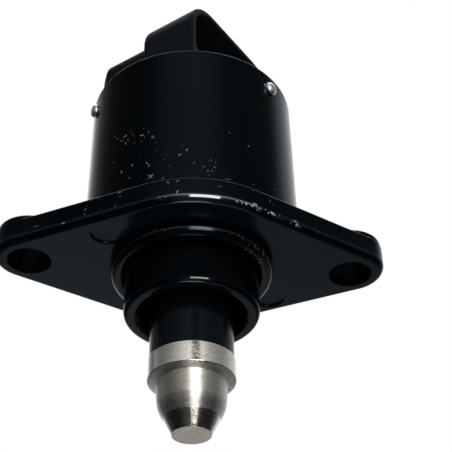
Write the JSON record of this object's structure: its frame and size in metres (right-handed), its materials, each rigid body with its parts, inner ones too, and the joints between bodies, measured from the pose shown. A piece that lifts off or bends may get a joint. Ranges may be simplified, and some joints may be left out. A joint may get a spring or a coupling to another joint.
{
  "type": "idle air control valve",
  "caption": "Flanged idle air control valve: a stepping motor in a black can slides a conical nose through a spigot with an O-ring; side-facing plug socket.",
  "frame": {"origin": "centre of the flange's mounting face, on the motor axis", "axes": "+Z along the motor axis from the mounting face to the connector; X through the two fixing holes; the nose points to -Z"},
  "size_m": [0.0606, 0.0346, 0.0752],
  "materials": {
    "body_enamel": "semi-gloss black enamel on a die-cast body, chipped and scuffed",
    "connector_plastic": "black glass-filled plastic, fine matt texture",
    "seal_rubber": "black rubber with a slight sheen and dust",
    "terminal_tin": "tinned brass, satin",
    "pin_steel": "bright steel",
    "stator_steel": "zinc-plated pressed steel",
    "bobbin_plastic": "natural nylon",
    "winding_copper": "enamelled copper wire",
    "magnet_ferrite": "sintered ferrite, dark grey",
    "hub_plastic": "natural acetal",
    "nut_brass": "turned brass",
    "bush_bronze": "sintered bronze, oiled",
    "bearing_steel": "ground bearing steel",
    "guide_plastic": "dark acetal",
    "screw_steel": "rolled steel",
    "sleeve_plastic": "satin black plastic",
    "nose_nickel": "turned and nickel-plated steel, fine rings",
    "spring_steel": "drawn spring wire"
  },
  "bodies": {
    "housing": {"valve_body": "body_enamel", "connector_cap": "connector_plastic", "terminal_1": "terminal_tin", "terminal_2": "terminal_tin", "terminal_3": "terminal_tin", "terminal_4": "terminal_tin", "cap_pin_1": "pin_steel", "cap_pin_2": "pin_steel", "cap_pin_3": "pin_steel", "body_o_ring": "seal_rubber", "cap_seal": "seal_rubber", "stator_cup_front": "stator_steel", "pole_plate_front": "stator_steel", "bobbin_front": "bobbin_plastic", "winding_front": "winding_copper", "stator_cup_rear": "stator_steel", "pole_plate_rear": "stator_steel", "bobbin_rear": "bobbin_plastic", "winding_rear": "winding_copper", "rear_bush": "bush_bronze", "wave_washer": "spring_steel", "bearing_outer_race": "bearing_steel", "guide_bush": "guide_plastic", "pintle_spring": "spring_steel"},
    "rotor": {"rotor_magnet": "magnet_ferrite", "rotor_hub": "hub_plastic", "drive_nut": "nut_brass", "bearing_inner_race": "bearing_steel"},
    "ball_set": {"bearing_cage": "nut_brass", "bearing_ball_1": "bearing_steel", "bearing_ball_2": "bearing_steel", "bearing_ball_3": "bearing_steel", "bearing_ball_4": "bearing_steel", "bearing_ball_5": "bearing_steel", "bearing_ball_6": "bearing_steel", "bearing_ball_7": "bearing_steel", "bearing_ball_8": "bearing_steel"},
    "pintle": {"pintle_tip": "nose_nickel", "pintle_sleeve": "sleeve_plastic", "lead_screw": "screw_steel"}
  },
  "joints": [
    {"name": "rotor_spin", "type": "hinge", "parent": "housing", "child": "rotor", "pos_m": [0, 0, 0.015], "axis": [0, 0, 1], "range_deg": [-2340, 540]},
    {"name": "pintle_slide", "type": "slide", "parent": "housing", "child": "pintle", "axis": [0, 0, 1], "range_m": [-0.0015, 0.0065], "deforming": ["pintle_spring"]},
    {"name": "ball_set_spin", "type": "hinge", "parent": "housing", "child": "ball_set", "pos_m": [0, 0, 0.007], "axis": [0, 0, 1], "range_deg": [-980, 230]}
  ],
  "couplings": [
    {"joint": "pintle_slide", "follows": "rotor_spin", "m_per_rad": -0.00015915},
    {"joint": "ball_set_spin", "follows": "rotor_spin", "ratio": 0.4167}
  ]
}
